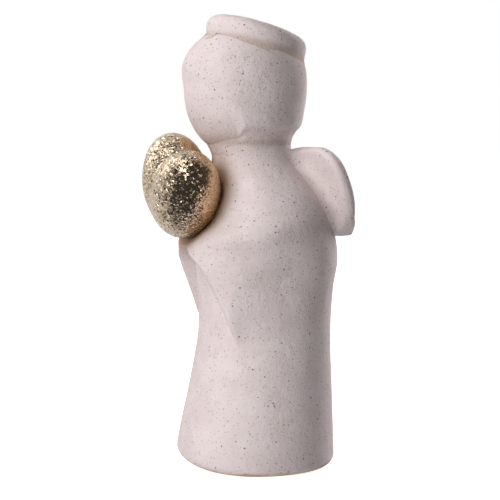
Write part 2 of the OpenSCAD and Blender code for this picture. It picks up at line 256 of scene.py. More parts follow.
# %% Head shape
HEAD_W, HEAD_Z, HEAD_UP, HEAD_DOWN, HEAD_FULLNESS = 34.6, 110.5, 15.2, 20.8, 2.3
HEAD_ROUNDNESS, HEAD_Y, HEAD_SINK = 2.1, -3.3, 0.9
HEAD_MIDDLE = np.array([0.0, HEAD_Y, HEAD_Z])


def tilt_at(z):
    """Profile angle at which the head reaches height z: negative below its widest level."""
    drop = np.clip((HEAD_Z - z) / HEAD_DOWN, 0, 1) ** (HEAD_FULLNESS / 2)
    rise = np.clip((z - HEAD_Z) / HEAD_UP, 0, 1) ** (HEAD_FULLNESS / 2)
    return np.arcsin(rise) - np.arcsin(drop)


def height_at(tilt):
    """Height of the head's surface at a profile angle: the reverse of tilt_at."""
    return HEAD_Z + np.where(tilt < 0, -HEAD_DOWN, HEAD_UP) * np.abs(np.sin(tilt)) ** (2 / HEAD_FULLNESS)


def head_skin(angle, tilt, out=0.0):
    """The head's surface moved outwards: a squared-off ellipse in profile and a near circle in plan."""
    z = height_at(tilt)
    r = oval(angle, HEAD_W / 2, HEAD_W / 2, HEAD_ROUNDNESS) * np.cos(tilt) ** (2 / HEAD_FULLNESS)
    rise = np.maximum(z - HEAD_Z, 0)
    length = np.maximum(np.hypot(r, rise), 0.01)
    return around_axis(angle, r + out * r / length, HEAD_Y, z + out * rise / length)


def outside_head(points):
    """How far points lie outside the head, along the line from the middle of the head."""
    p = points - HEAD_MIDDLE
    r, angle = np.hypot(p[..., 0], p[..., 1]), np.arctan2(p[..., 0], -p[..., 1])
    across = r / oval(angle, HEAD_W / 2, HEAD_W / 2, HEAD_ROUNDNESS)
    up = np.abs(p[..., 2]) / np.where(p[..., 2] < 0, HEAD_DOWN, HEAD_UP)
    share = (across ** HEAD_FULLNESS + up ** HEAD_FULLNESS) ** (1 / HEAD_FULLNESS)
    return np.linalg.norm(p, axis=-1) * (1 - 1 / np.maximum(share, 0.05))


print("head, before it sinks into the neck, from", HEAD_Z - HEAD_DOWN, "to", HEAD_Z + HEAD_UP, "mm")

# %% Hair shape
HAIR_T, NAPE_T, HAIR_BED = 1.0, 2.4, 0.8
FRINGE_Z, LOCK_FROM, LOCK_TO, HAIR_END = 108.5, 34.0, 66.0, 1.0
LOCK_FALL, NAPE_FROM, FRINGE_ROLL, LOCK_ROLL, HAIR_DIP = 14, 104, 8.0, 4.2, 0.04


def from_front(angle):
    """Angle away from the front, from 0 to half a turn, on either side."""
    return np.abs((angle + np.pi) % (2 * np.pi) - np.pi)


def hair_low(angle):
    """Height of the hair's edge: level across the forehead, then falling down the side locks."""
    s = np.degrees(from_front(angle))
    fall = LOCK_FALL * np.clip((s - LOCK_FROM) / (LOCK_TO - LOCK_FROM), 0, 1) ** 2.2
    return np.maximum(NECK_Z + HAIR_END, FRINGE_Z - fall)


def above_edge(angle, z):
    """Distance from the nearest point of the hair's edge, on the head's side rolled out flat, for
    points above the edge, and 0 below it."""
    edge = np.radians(np.linspace(0, 180, 241))
    across = (from_front(angle)[..., None] - edge) * HEAD_W / 2
    reach = np.hypot(across, z[..., None] - hair_low(edge)).min(axis=-1)
    return np.where(z > hair_low(angle), reach, 0)


def hair_height(angle, z):
    """Height of the hair over the head: a soft rise along its edge, then an even coat that is thicker
    towards the nape. The rise is longer over the forehead than at the side locks."""
    angle, z = np.broadcast_arrays(angle, z)
    inward = above_edge(angle, z)
    lock = smooth(LOCK_FROM - 4, LOCK_FROM + 18, np.degrees(from_front(angle)))
    roll = FRINGE_ROLL + (LOCK_ROLL - FRINGE_ROLL) * lock
    coat = HAIR_T + (NAPE_T - HAIR_T) * smooth(NAPE_FROM, NECK_Z, z)
    return coat * smooth(0, roll, inward) - HAIR_DIP * (1 - smooth(0, 0.8, inward))


def under_head(angle, z, out):
    """Points on the underside of the head or of the hair over it, moved out by a distance."""
    return head_skin(angle, tilt_at(z), np.maximum(hair_height(angle, z), 0) + out)


print("hair thickness behind, high and low:", hair_height(np.pi, np.array([115.0, 97.0])).round(2))

# %% [markdown]
# ## The robe
# The robe is a hollow casting, open at the foot, with a hole in the neck for the head's dowel.
# It could be a solid with holes cut by booleans, which leaves long thin faces. Carrying one
# profile all the way round, from the roof of the hollow, out under the foot, up the outside and
# into the neck, makes the same closed shell out of even quads.

# %% Rows of the robe, and the collar
WALL, CAVITY_LOW, CAVITY_TOP, POCKET = 3.2, 5.0, 79.0, 1.0
PLUG_R, PLUG_FLANGE_R, PLUG_FLANGE_T = 11.0, 13.0, 1.4
NECK_BORE_R, NECK_BORE_DEPTH = 3.05, 8.05
COLLAR_LOW, COLLAR_HIGH, ROOF_R = 89.8, 97.4, 2.0
ROUND_ANGLES = np.linspace(0, 2 * np.pi, 240, endpoint=False)


def foot_inset(z):
    """How far the robe's rounded lower edge pulls in at height z."""
    return FOOT_ROUND * (1 - np.sqrt(1 - (1 - np.clip((z - PAD_PROUD) / FOOT_ROUND, 0, 1)) ** 2))


def robe_skin(angle, z, out=0.0):
    """Points of the robe's outside, moved out by a distance."""
    return around_axis(angle, robe_radius(angle, z) - foot_inset(z) + out, robe_y(z), z)


def circle_rows(radius, y, z):
    """Rows of round sections, one for each radius and height given."""
    return around_axis(ROUND_ANGLES, np.asarray(radius)[:, None], y, np.asarray(z)[:, None])


def collar():
    """The soft hollow round the neck: a curve that leaves the shoulder, turns at the line where the
    robe and the head would meet, and lies against the underside of the head and hair."""
    a = ROUND_ANGLES
    t = np.linspace(0, 1, 16)[1:, None, None]
    low, high = robe_skin(a, COLLAR_LOW), under_head(a, COLLAR_HIGH, -0.12)
    corner = (robe_skin(a, NECK_Z) + under_head(a, NECK_Z + 0.1, 0)) / 2
    return (1 - t) ** 2 * low + 2 * t * (1 - t) * corner + t ** 2 * high


print("collar from", COLLAR_LOW, "to", COLLAR_HIGH, "mm in", len(collar()), "rows")


# %% Robe
ROBE_LUMP, ROBE_LUMP_SIZE, ROBE_MEAN_R = 0.07, 9.0, 20


def robe_profile():
    """Every row of the robe's shell in order."""
    a = ROUND_ANGLES
    hollow_z = np.linspace(CAVITY_TOP, CAVITY_LOW, 24)[:, None]
    hollow = robe_skin(a, hollow_z, -WALL - POCKET)
    roof = circle_rows([ROOF_R], 0.0, [CAVITY_TOP])
    plug_seat = circle_rows([PLUG_R, PLUG_R, PLUG_FLANGE_R, PLUG_FLANGE_R], 0.0,
                            [CAVITY_LOW, PAD_T + PLUG_FLANGE_T, PAD_T + PLUG_FLANGE_T, PAD_T])
    recess = around_axis(a, robe_radius(a, 0) - PAD_INSET, robe_y(0), np.array([[PAD_T], [PAD_PROUD]]))
    turn = np.radians(np.linspace(0, 90, 13))[:, None]
    edge = robe_skin(a, PAD_PROUD + FOOT_ROUND * (1 - np.cos(turn)))
    side = robe_skin(a, np.linspace(PAD_PROUD + FOOT_ROUND, COLLAR_LOW, 230)[1:, None])
    bore = circle_rows([NECK_BORE_R + 2, NECK_BORE_R, NECK_BORE_R], HEAD_Y + 1.5,
                       [NECK_Z, NECK_Z, NECK_Z - NECK_BORE_DEPTH])
    return np.concatenate([roof, hollow, plug_seat, recess, edge, side, collar(), bore])


robe_grid = robe_profile()
uneven = ROBE_LUMP * lumps(robe_grid, ROBE_LUMP_SIZE, 1) * smooth(3.0, 6.0, robe_grid[..., 2])
robe_grid[..., :2] *= 1 + uneven[..., None] / ROBE_MEAN_R
robe = skin("robe", robe_grid)
robe.data.set_sharp_from_angle(angle=np.radians(50))
stand_for(robe, "robe_body")

# %% [markdown]
# ## The sleeves
# Each sleeve is a low relief: bold along its front edge, where it hangs free from the wrist, and
# sinking back into the robe at the shoulder and behind. It could be sculpted on the robe. As a
# piece of its own it is the robe's skin plus a height, and its borders dip just under the skin,
# so that no seam shows where the two run together.

# %% Sleeve relief
HAND_Z, SLEEVE_TIP_Z, HAND_OUT = 63.5, 35.0, 5.2
HAND_ANGLE, TIP_ANGLE, SLEEVE_BACK, TIP_SPAN = 4.0, 54.0, 118.0, 44.0
SLEEVE_LOW, SLEEVE_HIGH = SLEEVE_TIP_Z - 1.5, HAND_Z + 11
CLASP_Z, BORDER_DIP = 60.5, 0.12
ARM_RIDGE, ARM_HOLLOW, SLEEVE_LIP = 1.3, 0.8, 0.11


def sleeve_edge(z):
    """Angle of the sleeve's front edge: past the middle where the hands clasp, and then back and
    down to the hanging tip."""
    fall = np.clip((HAND_Z - z) / (HAND_Z - SLEEVE_TIP_Z), 0, 1)
    return HAND_ANGLE + (TIP_ANGLE - HAND_ANGLE) * fall ** 0.65 - 9 * smooth(CLASP_Z - 2.5, CLASP_Z + 2, z)


def sleeve_rear(z):
    """Angle of the sleeve's back border: it draws in towards the front edge down at the tip."""
    draw_in = (1 - smooth(SLEEVE_LOW, SLEEVE_LOW + 17, z)) ** 2
    return SLEEVE_BACK - (SLEEVE_BACK - TIP_ANGLE - TIP_SPAN) * draw_in


def sleeve_height(u, z):
    """Height of the sleeve over the robe's skin at share u of the way from its front edge to its
    back: a rounded lip, times a fall towards the back, times a fade above the arm and below the tip.
    The forearm adds a low ridge that climbs from the hand, and the cloth sinks a little under it."""
    bold = 3 + (HAND_OUT - 3) * smooth(SLEEVE_TIP_Z, HAND_Z, z)
    arm_top = HAND_Z - 1.5 + 4.5 * smooth(0, 0.6, u)
    fades = 1 - smooth(arm_top, arm_top + 8, z)
    fades = fades * smooth(SLEEVE_LOW, SLEEVE_LOW + 7 + 55 * np.minimum(u, 0.5), z)
    cloth = bold * rounded(u / SLEEVE_LIP) * (1 - smooth(0.02, 0.97, u)) ** 1.15 * fades
    ridge = ARM_RIDGE * np.exp(-((z - HAND_Z - 1 - 7 * u) / 4.5) ** 2)
    hollow = ARM_HOLLOW * np.exp(-((z - HAND_Z + 9) / 6) ** 2)
    forearm = (ridge - hollow) * smooth(0.08, 0.3, u) * (1 - smooth(0.6, 1, u))
    return cloth + forearm * smooth(SLEEVE_LOW, SLEEVE_LOW + 9, z) * smooth(0, 3, SLEEVE_HIGH - z)


print("sleeve's height near its edge:", sleeve_height(0.1, np.array([42.0, 52.0, 62.0])).round(2))

# %% Left and right sleeves
SLEEVE_COLUMNS, SLEEVE_ROWS = 170, 190


def sleeve_sides():
    """Outer and inner grids of the left sleeve, with more columns near its bold front edge."""
    u = np.linspace(0, 1, SLEEVE_COLUMNS) ** 1.6
    z = np.linspace(SLEEVE_LOW, SLEEVE_HIGH, SLEEVE_ROWS)[:, None]
    angle = np.radians(sleeve_edge(z) + (sleeve_rear(z) - sleeve_edge(z)) * u)
    inside = smooth(0, 0.06, 1 - u) * smooth(0, 1.5, SLEEVE_HIGH - z) * smooth(0, 1.5, z - SLEEVE_LOW)
    outer = robe_skin(angle, z, sleeve_height(u, z) - BORDER_DIP * np.maximum(1 - inside, u < 1e-9))
    return outer, robe_skin(angle, z, -POCKET)


def mirrored(grid):
    """The same grid on the figure's other side, with its columns reversed so that it still faces out."""
    return (grid * [-1, 1, 1])[:, ::-1]


outer, inner = sleeve_sides()
left_sleeve = patch("left_sleeve", outer, inner)
right_sleeve = patch("right_sleeve", mirrored(outer), mirrored(inner))
stand_for(left_sleeve, "left_sleeve")
stand_for(right_sleeve, "right_sleeve")

# %% [markdown]
# ## The head and the hair
# The face is a plain rounded form, with nothing drawn on it. The hair is one smooth cap: it
# swells a little over the forehead, and its side locks come down past the cheeks to the nape.
# A cap could be cut from a copy of the head and thickened, but then its edge is as jagged as the
# grid. Here every column of the cap starts on the hair's own edge, so the edge is a clean line.

# %% Head
CROWN = np.pi / 2 - 0.02
tilts = np.linspace(tilt_at(NECK_Z - HEAD_SINK), CROWN, 170)[:, None]
head_grid = head_skin(ROUND_ANGLES, tilts)
head = skin("head", head_grid)
stand_for(head, "head")

# %% Hair
def hair_grid(out, rows):
    """Rows of the cap from its edge to the crown, moved out by a function of angle and height."""
    low = tilt_at(hair_low(ROUND_ANGLES))
    share = np.linspace(0, 1, rows)[:, None] ** 1.3
    tilt = low + (CROWN - low) * share
    return head_skin(ROUND_ANGLES, tilt, out(ROUND_ANGLES, height_at(tilt)))


hair_inside = hair_grid(lambda angle, z: -HAIR_BED, 50)[::-1]
hair_outside = hair_grid(hair_height, 200)
hair_points = np.concatenate([hair_inside, hair_outside])
hair = skin("hair", hair_points)
stand_for(hair, "hair")

# %% [markdown]
# ## The halo
# The halo is a thick roll of clay pressed down on the back of the crown, leaning back. A plain
# torus would meet the hair in a hard line. Here each point moves out from the middle of the roll
# until it leaves a field in which roll and hair run together, so the joint is a small fillet.

# %% Halo field
HALO_D, HALO_T, HALO_TILT, HALO_MIDDLE = 23.6, 6.2, 16.5, np.array([0.0, 0.6, 123.6])
HALO_FILLET, HALO_ROWS, HALO_COLUMNS = 2.4, 240, 90
GROWTH_STEP, GROWTH_STEPS = 0.04, 130


def merged(a, b, reach):
    """Joins two distances: the smaller one, less a little where they are within reach of each other."""
    return np.minimum(a, b) - np.maximum(reach - np.abs(a - b), 0) ** 2 / (4 * reach)


def halo_axes():
    """The halo's own right, forward and up directions: it leans back about X."""
    t = np.radians(HALO_TILT)
    return np.array([1.0, 0, 0]), np.array([0, np.cos(t), -np.sin(t)]), np.array([0, np.sin(t), np.cos(t)])


def outside_halo(points):
    """Distance of points from the surface of the halo's roll."""
    right, forward, up = halo_axes()
    p = points - HALO_MIDDLE
    flat = np.hypot(p @ right, p @ forward) - HALO_D / 2
    return np.hypot(flat, p @ up) - HALO_T / 2


def halo_points(radius):
    """Points of the roll: once round the halo in rows, and once round the roll in columns."""
    right, forward, up = halo_axes()
    around = np.linspace(0, 2 * np.pi, HALO_ROWS, endpoint=False)[:, None, None]
    roll = np.linspace(0, 2 * np.pi, HALO_COLUMNS, endpoint=False)[None, :, None]
    outward = np.cos(around) * right + np.sin(around) * forward
    from_core = np.cos(roll) * outward + np.sin(roll) * up
    return HALO_MIDDLE + HALO_D / 2 * outward + radius[..., None] * from_core


def halo_radius():
    """Radius of the roll: it grows in small steps until it leaves the joined form, which adds a
    fillet near the hair. Where it never leaves, it is buried in the head, and is kept thin."""
    plain = np.full((HALO_ROWS, HALO_COLUMNS), HALO_T / 2)
    radius, growing = plain - 0.2, np.full(plain.shape, True)
    for _ in range(GROWTH_STEPS):
        p = halo_points(radius)
        growing &= merged(outside_halo(p), outside_head(p) - HAIR_T, HALO_FILLET) < 0
        radius = np.where(growing, radius + GROWTH_STEP, radius)
    return np.where(growing, 0.85 * plain, radius)


radius = halo_radius()
print("halo's roll from", radius.min().round(2), "to", radius.max().round(2), "mm in radius")


# %% Halo
HALO_LUMP, HALO_LUMP_SIZE = 0.1, 5.0


def ring(name, grid):
    """A closed ring from a grid that wraps both ways."""
    rows, columns = grid.shape[:2]
    quads = grid_quads(rows + 1, columns, True) % (rows * columns)
    return make_piece(name, grid.reshape(-1, 3), quads[:, ::-1], np.zeros((0, 3), int))


plain_roll = halo_points(np.full(radius.shape, HALO_T / 2))
halo_grid = halo_points(radius + HALO_LUMP * lumps(plain_roll, HALO_LUMP_SIZE, 3))
halo = ring("halo", halo_grid)
halo.data.set_sharp_from_angle(angle=np.radians(50))
stand_for(halo, "halo")

# %% [markdown]
# ## The wings
# Each wing is a short thick slab with a rolled edge, a flat lower end and a soft hollow where it
# leaves the back. A slab with bevels would do for the edge but not for the hollow. This one is
# drawn as rays from its middle: flat faces first, then a round rim. The front face swells where it
# comes near the robe, as a thumb would leave it, and behind, the two wings run into one valley.

# %% Wing outline
WING_ANGLE, WING_REACH, WING_T, WING_LOW, WING_TOP, WING_WIDEST = 107.0, 24.4, 4.2, 66.0, 92.2, 85.0
WING_ROOT_Y, WING_LEAN = 20.15, 0.43
WING_MIDDLE = (13.0, 80.0)
WING_BEND, WING_FILLET, VALLEY = 14.0, 6.5, 3.0
WING_OUT = np.array([np.sin(np.radians(WING_ANGLE)), -np.cos(np.radians(WING_ANGLE)), 0])
WING_SIDE = np.array([np.cos(np.radians(WING_ANGLE)), np.sin(np.radians(WING_ANGLE)), 0])


def wing_place(d, h, z):
    """A point at height z, d out along the wing from the middle of the back and h to its side. The
    wing leans forward as it rises, as the back does."""
    upright = np.stack([0 * z, WING_ROOT_Y - WING_LEAN * (z - WING_LOW), z], axis=-1)
    return upright + d[..., None] * WING_OUT + h[..., None] * WING_SIDE


def wing_field(d, z):
    """Negative inside the wing's outline: an arch with a full shoulder, a flat lower end, a dip
    beside the neck, and an inner end buried under the robe's skin or past the figure's middle."""
    power, width, height = 2.6, WING_REACH - WING_BEND, WING_TOP + 0.4 - WING_WIDEST
    belly = 11 / width * (np.maximum(WING_WIDEST - z, 0) / (WING_WIDEST - WING_LOW)) ** 2.3
    across = np.maximum(d - WING_BEND, 0) / width + belly
    over = np.maximum(z - WING_WIDEST, 0) / height
    arch = width * ((across ** power + over ** power) ** (1 / power) - 1)
    dip = z - WING_TOP + 1.6 * np.exp(-(np.maximum(d, 0) / 5.5) ** 2)
    buried = np.maximum(-outside_robe(wing_place(d, 0 * d, z)) - WING_T, -d - 1.5)
    return np.maximum(np.maximum(arch, dip), np.maximum(buried, WING_LOW - z))


print("wing field at its middle:", wing_field(*np.array(WING_MIDDLE)[:, None]).round(1))


# %% Left and right wings
def last_inside(low, high, is_inside, steps=24):
    """Halves the way between two distances, step by step, down to where inside turns to outside."""
    for _ in range(steps):
        middle = (low + high) / 2
        within = is_inside(middle)
        low, high = np.where(within, middle, low), np.where(within, high, middle)
    return low


def wing_grid():
    """Rows run from the middle of one face, out over the rim and back to the middle of the other."""
    turn = np.linspace(0, 2 * np.pi, 320, endpoint=False)
    cos, sin = np.cos(turn), np.sin(turn)
    reach = last_inside(np.zeros_like(turn), np.full_like(turn, 40.0),
                        lambda r: wing_field(WING_MIDDLE[0] + r * cos, WING_MIDDLE[1] + r * sin) < 0)
    reach = np.convolve(np.concatenate([reach[-3:], reach, reach[:3]]), np.full(7, 1 / 7), "valid")
    half = WING_T / 2
    face = np.linspace(0.02, 1, 70)[:-1, None] * (reach - half)
    arc = np.radians(np.linspace(0, 180, 33))[:, None]
    boxy = 1 - 0.55 * smooth(0.75, 0.95, -sin)
    rim_out = reach - half + half * np.abs(np.sin(arc)) ** boxy
    rim_side = half * np.sign(np.cos(arc)) * np.abs(np.cos(arc)) ** boxy
    out = np.concatenate([face, rim_out, face[::-1]])
    side = np.concatenate([np.full_like(face, half), rim_side, np.full_like(face, -half)])
    d, z = WING_MIDDLE[0] + out * cos, WING_MIDDLE[1] + out * sin
    gap = outside_robe(wing_place(d, side, z))
    near = np.clip(1 - (gap + 0.1) / WING_FILLET, 0, 1)
    side = side - WING_FILLET * (1 - np.sqrt(1 - near ** 2)) * np.clip(-side / half, 0, 1)
    d = np.where(side < 0, d - (outside_robe(wing_place(d, side, z)) - gap), d)
    points = wing_place(d, side, z)
    x = np.abs(points[..., 0])
    steep = WING_OUT[1] / WING_OUT[0]
    points[..., 1] += steep * (np.hypot(x, VALLEY) - x) * np.clip(side / half, 0, 1)
    return points


left_grid = wing_grid()
left_wing = skin("left_wing", left_grid[::-1])
right_wing = skin("right_wing", left_grid * [-1, 1, 1])
stand_for(left_wing, "left_wing")
stand_for(right_wing, "right_wing")

# %% [markdown]
# ## The heart
# The heart is a puffed form: two egg-shaped lobes that lean apart and meet at the point. It could
# be a curve inflated with Solidify, which makes a flat biscuit. Joining two egg fields gives the
# deep notch and full cheeks of the real one, and its skin is found by going out from the middle.

# %% Heart field
HEART_MIDDLE, HEART_NOD, HEART_LEAN = np.array([0, -22.1, 81.6]), 4.5, 16.0
LOBE_X, LOBE_Z, LOBE_LEAN, LOBE_MERGE = 5.1, -1.6, 30.0, 0.16
LOBE_W, LOBE_R, LOBE_L = 10.2, 10.1, 15.2


def heart_turn():
    """Turns the heart's own directions to the figure's: a sideways lean, then a small nod."""
    lean, nod = np.radians(HEART_LEAN), np.radians(HEART_NOD)
    about_y = np.array([[np.cos(lean), 0, np.sin(lean)], [0, 1, 0], [-np.sin(lean), 0, np.cos(lean)]])
    about_x = np.array([[1, 0, 0], [0, np.cos(nod), -np.sin(nod)], [0, np.sin(nod), np.cos(nod)]])
    return about_x @ about_y


def heart_field(p):
    """Negative inside the heart: two leaning eggs that run together. Its unit is a share of a lobe."""
    eggs = []
    for side in (1, -1):
        x, z = p[..., 0] - side * LOBE_X, p[..., 2] - LOBE_Z
        cos, sin = np.cos(np.radians(LOBE_LEAN)), side * np.sin(np.radians(LOBE_LEAN))
        across, along = (x * cos - z * sin) / LOBE_W, (x * sin + z * cos) / LOBE_L
        eggs.append(np.sqrt(across ** 2 + (p[..., 1] / LOBE_R) ** 2 + along ** 2) - 1)
    return merged(eggs[0], eggs[1], LOBE_MERGE)


def outside_heart(points):
    """How far points of the figure lie outside the heart, near enough for shading."""
    return heart_field((points - HEART_MIDDLE) @ heart_turn()) * LOBE_R


print("heart's front at", HEART_MIDDLE[1] - LOBE_R, "mm, before its coat")


# %% Heart
COAT_GAP, PIT, PIT_SIZE, DENT, DENT_SIZE = 0.10, 0.05, 0.9, 0.06, 4.0


def heart_grid(rows, columns):
    """The heart's skin by rays from its middle, the rows running from its back to its front."""
    band = np.radians(np.linspace(-89.5, 89.5, rows))[:, None]
    turn = np.linspace(0, 2 * np.pi, columns, endpoint=False)[None, :]
    ray = np.stack(np.broadcast_arrays(np.cos(band) * np.cos(turn), -np.sin(band),
                                       np.cos(band) * np.sin(turn)), axis=-1)
    reach = last_inside(np.full(ray.shape[:2], 4.0), np.full(ray.shape[:2], 26.0),
                        lambda r: heart_field(r[..., None] * ray) < 0)
    place = reach[..., None] * ray
    pitted = DENT * lumps(place, DENT_SIZE, 8) - PIT * np.abs(lumps(place, PIT_SIZE, 7)) - COAT_GAP
    return HEART_MIDDLE + ((reach + pitted)[..., None] * ray) @ heart_turn().T


heart_points = heart_grid(260, 300)
heart = skin("heart", heart_points)
stand_for(heart, "heart")

# %% [markdown]
# ## Where painted shade goes, and where the gilt turns satin
# The clay's colour warms and darkens with painted shade in its creases, and beside the gilt heart
# with the heart's painted shadow and reflection, and the heart's gritty coat turns smooth towards
# its back. This could be painted by hand. Each point instead stores how near it lies to the
# neighbouring piece, or how far back, and the materials read that number.

# %% Painted shade for the clay, and satin for the gilt
def nearness(distance, reach):
    """1 where two pieces touch, falling to 0 on a bell curve: exp of minus (distance / reach) squared."""
    return np.exp(-(np.maximum(distance, 0) / reach) ** 2)


def heart_shadow_and_reflection(points):
    """Painted shadow and painted reflection of the heart: a warm, darker tint on the clay beside it."""
    return 1.6 * nearness(outside_heart(points), 3.2)


# Painted shade, warm and darker: along the neck joint, under the head, at the nape and where halo and hair
# meet; beside the heart it is the heart's painted shadow and reflection.
neck_shade = 0.55 * nearness(np.abs(robe_grid[..., 2] - NECK_Z), 0.9)
mark(robe, "painted_shade", np.maximum(neck_shade, heart_shadow_and_reflection(robe_grid)))
mark(head, "painted_shade", 0.5 * nearness(head_grid[..., 2] - NECK_Z, 1.6))
mark(hair, "painted_shade", np.maximum(0.7 * nearness(outside_halo(hair_points), 0.9),
                                0.4 * nearness(hair_points[..., 2] - NECK_Z, 1.4)))
mark(halo, "painted_shade", 0.7 * nearness(outside_head(halo_grid) - HAIR_T, 0.8))
for wing in (left_wing, right_wing):
    mark(wing, "painted_shade", np.zeros(1))
for sleeve, points in ((left_sleeve, outer), (right_sleeve, mirrored(outer))):
    mark(sleeve, "painted_shade", heart_shadow_and_reflection(points))
heart_depth = ((heart_points - HEART_MIDDLE) @ heart_turn())[..., 1]
mark(heart, "satin", smooth(-0.5, 4.5, heart_depth))
print("share of the heart that is satin:", float((heart_depth > 2).mean().round(2)))

# %% [markdown]
# ## Node groups for the finishes
# Specks and sand run on over every piece, because they are worked out from the place in space and
# not from a picture wrapped round each piece. They are node groups with named inputs, so that each
# material can set its own sizes and strengths.

# %% Node helpers
def new_group(name, inputs, outputs):
    """A node group with named sockets, each given as (name, type, default)."""
    group = bpy.data.node_groups.new(name, "ShaderNodeTree")
    for title, kind, default in inputs:
        socket = group.interface.new_socket(name=title, in_out="INPUT", socket_type=kind)
        socket.default_value = default
    for title, kind in outputs:
        group.interface.new_socket(name=title, in_out="OUTPUT", socket_type=kind)
    return group, group.nodes.new("NodeGroupInput"), group.nodes.new("NodeGroupOutput")


def node(tree, kind, links=None, **settings):
    """Adds a node, sets its properties, and fills its inputs with values or with other sockets."""
    made = tree.nodes.new(kind)
    for key, value in settings.items():
        setattr(made, key, value)
    for key, value in (links or {}).items():
        if isinstance(value, bpy.types.NodeSocket):
            tree.links.new(value, made.inputs[key])
        else:
            made.inputs[key].default_value = value
    return made


def maths(tree, operation, *values):
    """One sum on numbers or sockets."""
    return node(tree, "ShaderNodeMath", dict(enumerate(values)), operation=operation).outputs[0]


def ramp(tree, value, low, high, start=0.0, end=1.0):
    """Maps a value from low..high to start..end with a smooth step."""
    links = {"Value": value, "From Min": low, "From Max": high, "To Min": start, "To Max": end}
    return node(tree, "ShaderNodeMapRange", links, interpolation_type="SMOOTHSTEP").outputs[0]


def tint(tree, amount, below, above):
    """Mixes two colours by an amount."""
    mixed = node(tree, "ShaderNodeMix", {0: amount}, data_type="RGBA")
    for socket, value in ((mixed.inputs[6], below), (mixed.inputs[7], above)):
        if isinstance(value, bpy.types.NodeSocket):
            tree.links.new(value, socket)
        else:
            socket.default_value = value
    return mixed.outputs[2]


def in_space(tree):
    """The place of a shaded point in the frame."""
    return node(tree, "ShaderNodeTexCoord").outputs["Object"]


def noise(tree, place, scale, detail, roughness=0.5):
    """Cloudy noise from 0 to 1."""
    links = {"Vector": place, "Scale": scale, "Detail": detail, "Roughness": roughness}
    return node(tree, "ShaderNodeTexNoise", links).outputs["Fac"]


def new_material(name):
    """A material, its node tree and the Principled shader in it."""
    material = bpy.data.materials.new(name)
    material.use_nodes = True
    return material, material.node_tree, material.node_tree.nodes["Principled BSDF"]


def roughen(tree, shader, height, distance, strength, **more):
    """Feeds a height to the shader's normal through a bump."""
    links = {"Strength": strength, "Distance": distance, "Height": height, **more}
    bump = node(tree, "ShaderNodeBump", links)
    tree.links.new(bump.outputs[0], shader.inputs["Normal"])


# %% Specks: one random number a cell decides whether it holds a speck, and how big
def specks_group():
    """Dark round specks: each cell of a Voronoi pattern may hold one in its middle."""
    group, given, result = new_group("specks", [
        ("Spacing", "NodeSocketFloat", 1.8), ("Share", "NodeSocketFloat", 0.3),
        ("Largest", "NodeSocketFloat", 0.2), ("Softness", "NodeSocketFloat", 0.4)],
        [("Mask", "NodeSocketFloat")])
    scale = maths(group, "DIVIDE", 1 / MM, given.outputs["Spacing"])
    cells = node(group, "ShaderNodeTexVoronoi", {"Vector": in_space(group), "Scale": scale})
    chance = node(group, "ShaderNodeSeparateColor", {0: cells.outputs["Color"]})
    held = maths(group, "LESS_THAN", chance.outputs[0], given.outputs["Share"])
    size = maths(group, "MULTIPLY", given.outputs["Largest"],
                 ramp(group, chance.outputs[1], 0.0, 1.0, 0.45, 1.0))
    size = maths(group, "DIVIDE", size, given.outputs["Spacing"])
    inner = maths(group, "MULTIPLY", size, maths(group, "SUBTRACT", 1.0, given.outputs["Softness"]))
    dot = ramp(group, cells.outputs["Distance"], inner, size, 1.0, 0.0)
    group.links.new(maths(group, "MULTIPLY", dot, held), result.inputs["Mask"])
    return group


# %% Sand: grains in two sizes, and slow clouds of lighter and darker clay
def sand_group():
    """Three noises: fine and coarse grains, which add up to a height, and slow clouds from 0 to 1."""
    group, given, result = new_group("sand", [
        ("Grain", "NodeSocketFloat", 0.45), ("Clouds", "NodeSocketFloat", 7.0)],
        [("Height", "NodeSocketFloat"), ("Cloud", "NodeSocketFloat"), ("Fine", "NodeSocketFloat")])
    place, grain = in_space(group), given.outputs["Grain"]
    fine = noise(group, place, maths(group, "DIVIDE", 1 / MM, grain), 3.0, 0.6)
    coarse = noise(group, place, maths(group, "DIVIDE", 0.32 / MM, grain), 2.0)
    cloud = noise(group, place, maths(group, "DIVIDE", 1 / MM, given.outputs["Clouds"]), 2.0, 0.55)
    height = maths(group, "ADD", maths(group, "MULTIPLY", fine, 0.6), maths(group, "MULTIPLY", coarse, 0.7))
    group.links.new(height, result.inputs["Height"])
    group.links.new(ramp(group, cloud, 0.35, 0.65), result.inputs["Cloud"])
    group.links.new(fine, result.inputs["Fine"])
    return group


specks, sand = specks_group(), sand_group()
print("nodes in specks:", len(specks.nodes), "and in sand:", len(sand.nodes))


def use(tree, group, **values):
    """Places a node group and sets its named inputs."""
    placed = tree.nodes.new("ShaderNodeGroup")
    placed.node_tree = group
    for key, value in values.items():
        placed.inputs[key].default_value = value
    return placed


# %% [markdown]
# ## The clay
# The clay is a warm off-white with no gloss. Its colour drifts a little, it holds dark specks and
# a haze of faint ones, painted shade warms and darkens its creases, and it is darker and tan along
# the foot's lowest edge. A painted picture could show all this, but would stretch over the round
# forms. Rules in space don't.

# %% Clay material
CLAY_LIGHT, CLAY_DARK = (0.78, 0.682, 0.678, 1), (0.73, 0.627, 0.617, 1)
SPECK_BROWN, FLECK_GREY = (0.075, 0.055, 0.048, 1), (0.33, 0.27, 0.25, 1)
# The first tan is painted shade for creases and joints, and the heart's painted shadow and reflection; the
# second tints a darker band along the foot's lowest edge.
SHADE_TAN, FOOT_EDGE_TAN = (0.42, 0.29, 0.20, 1), (0.50, 0.30, 0.17, 1)


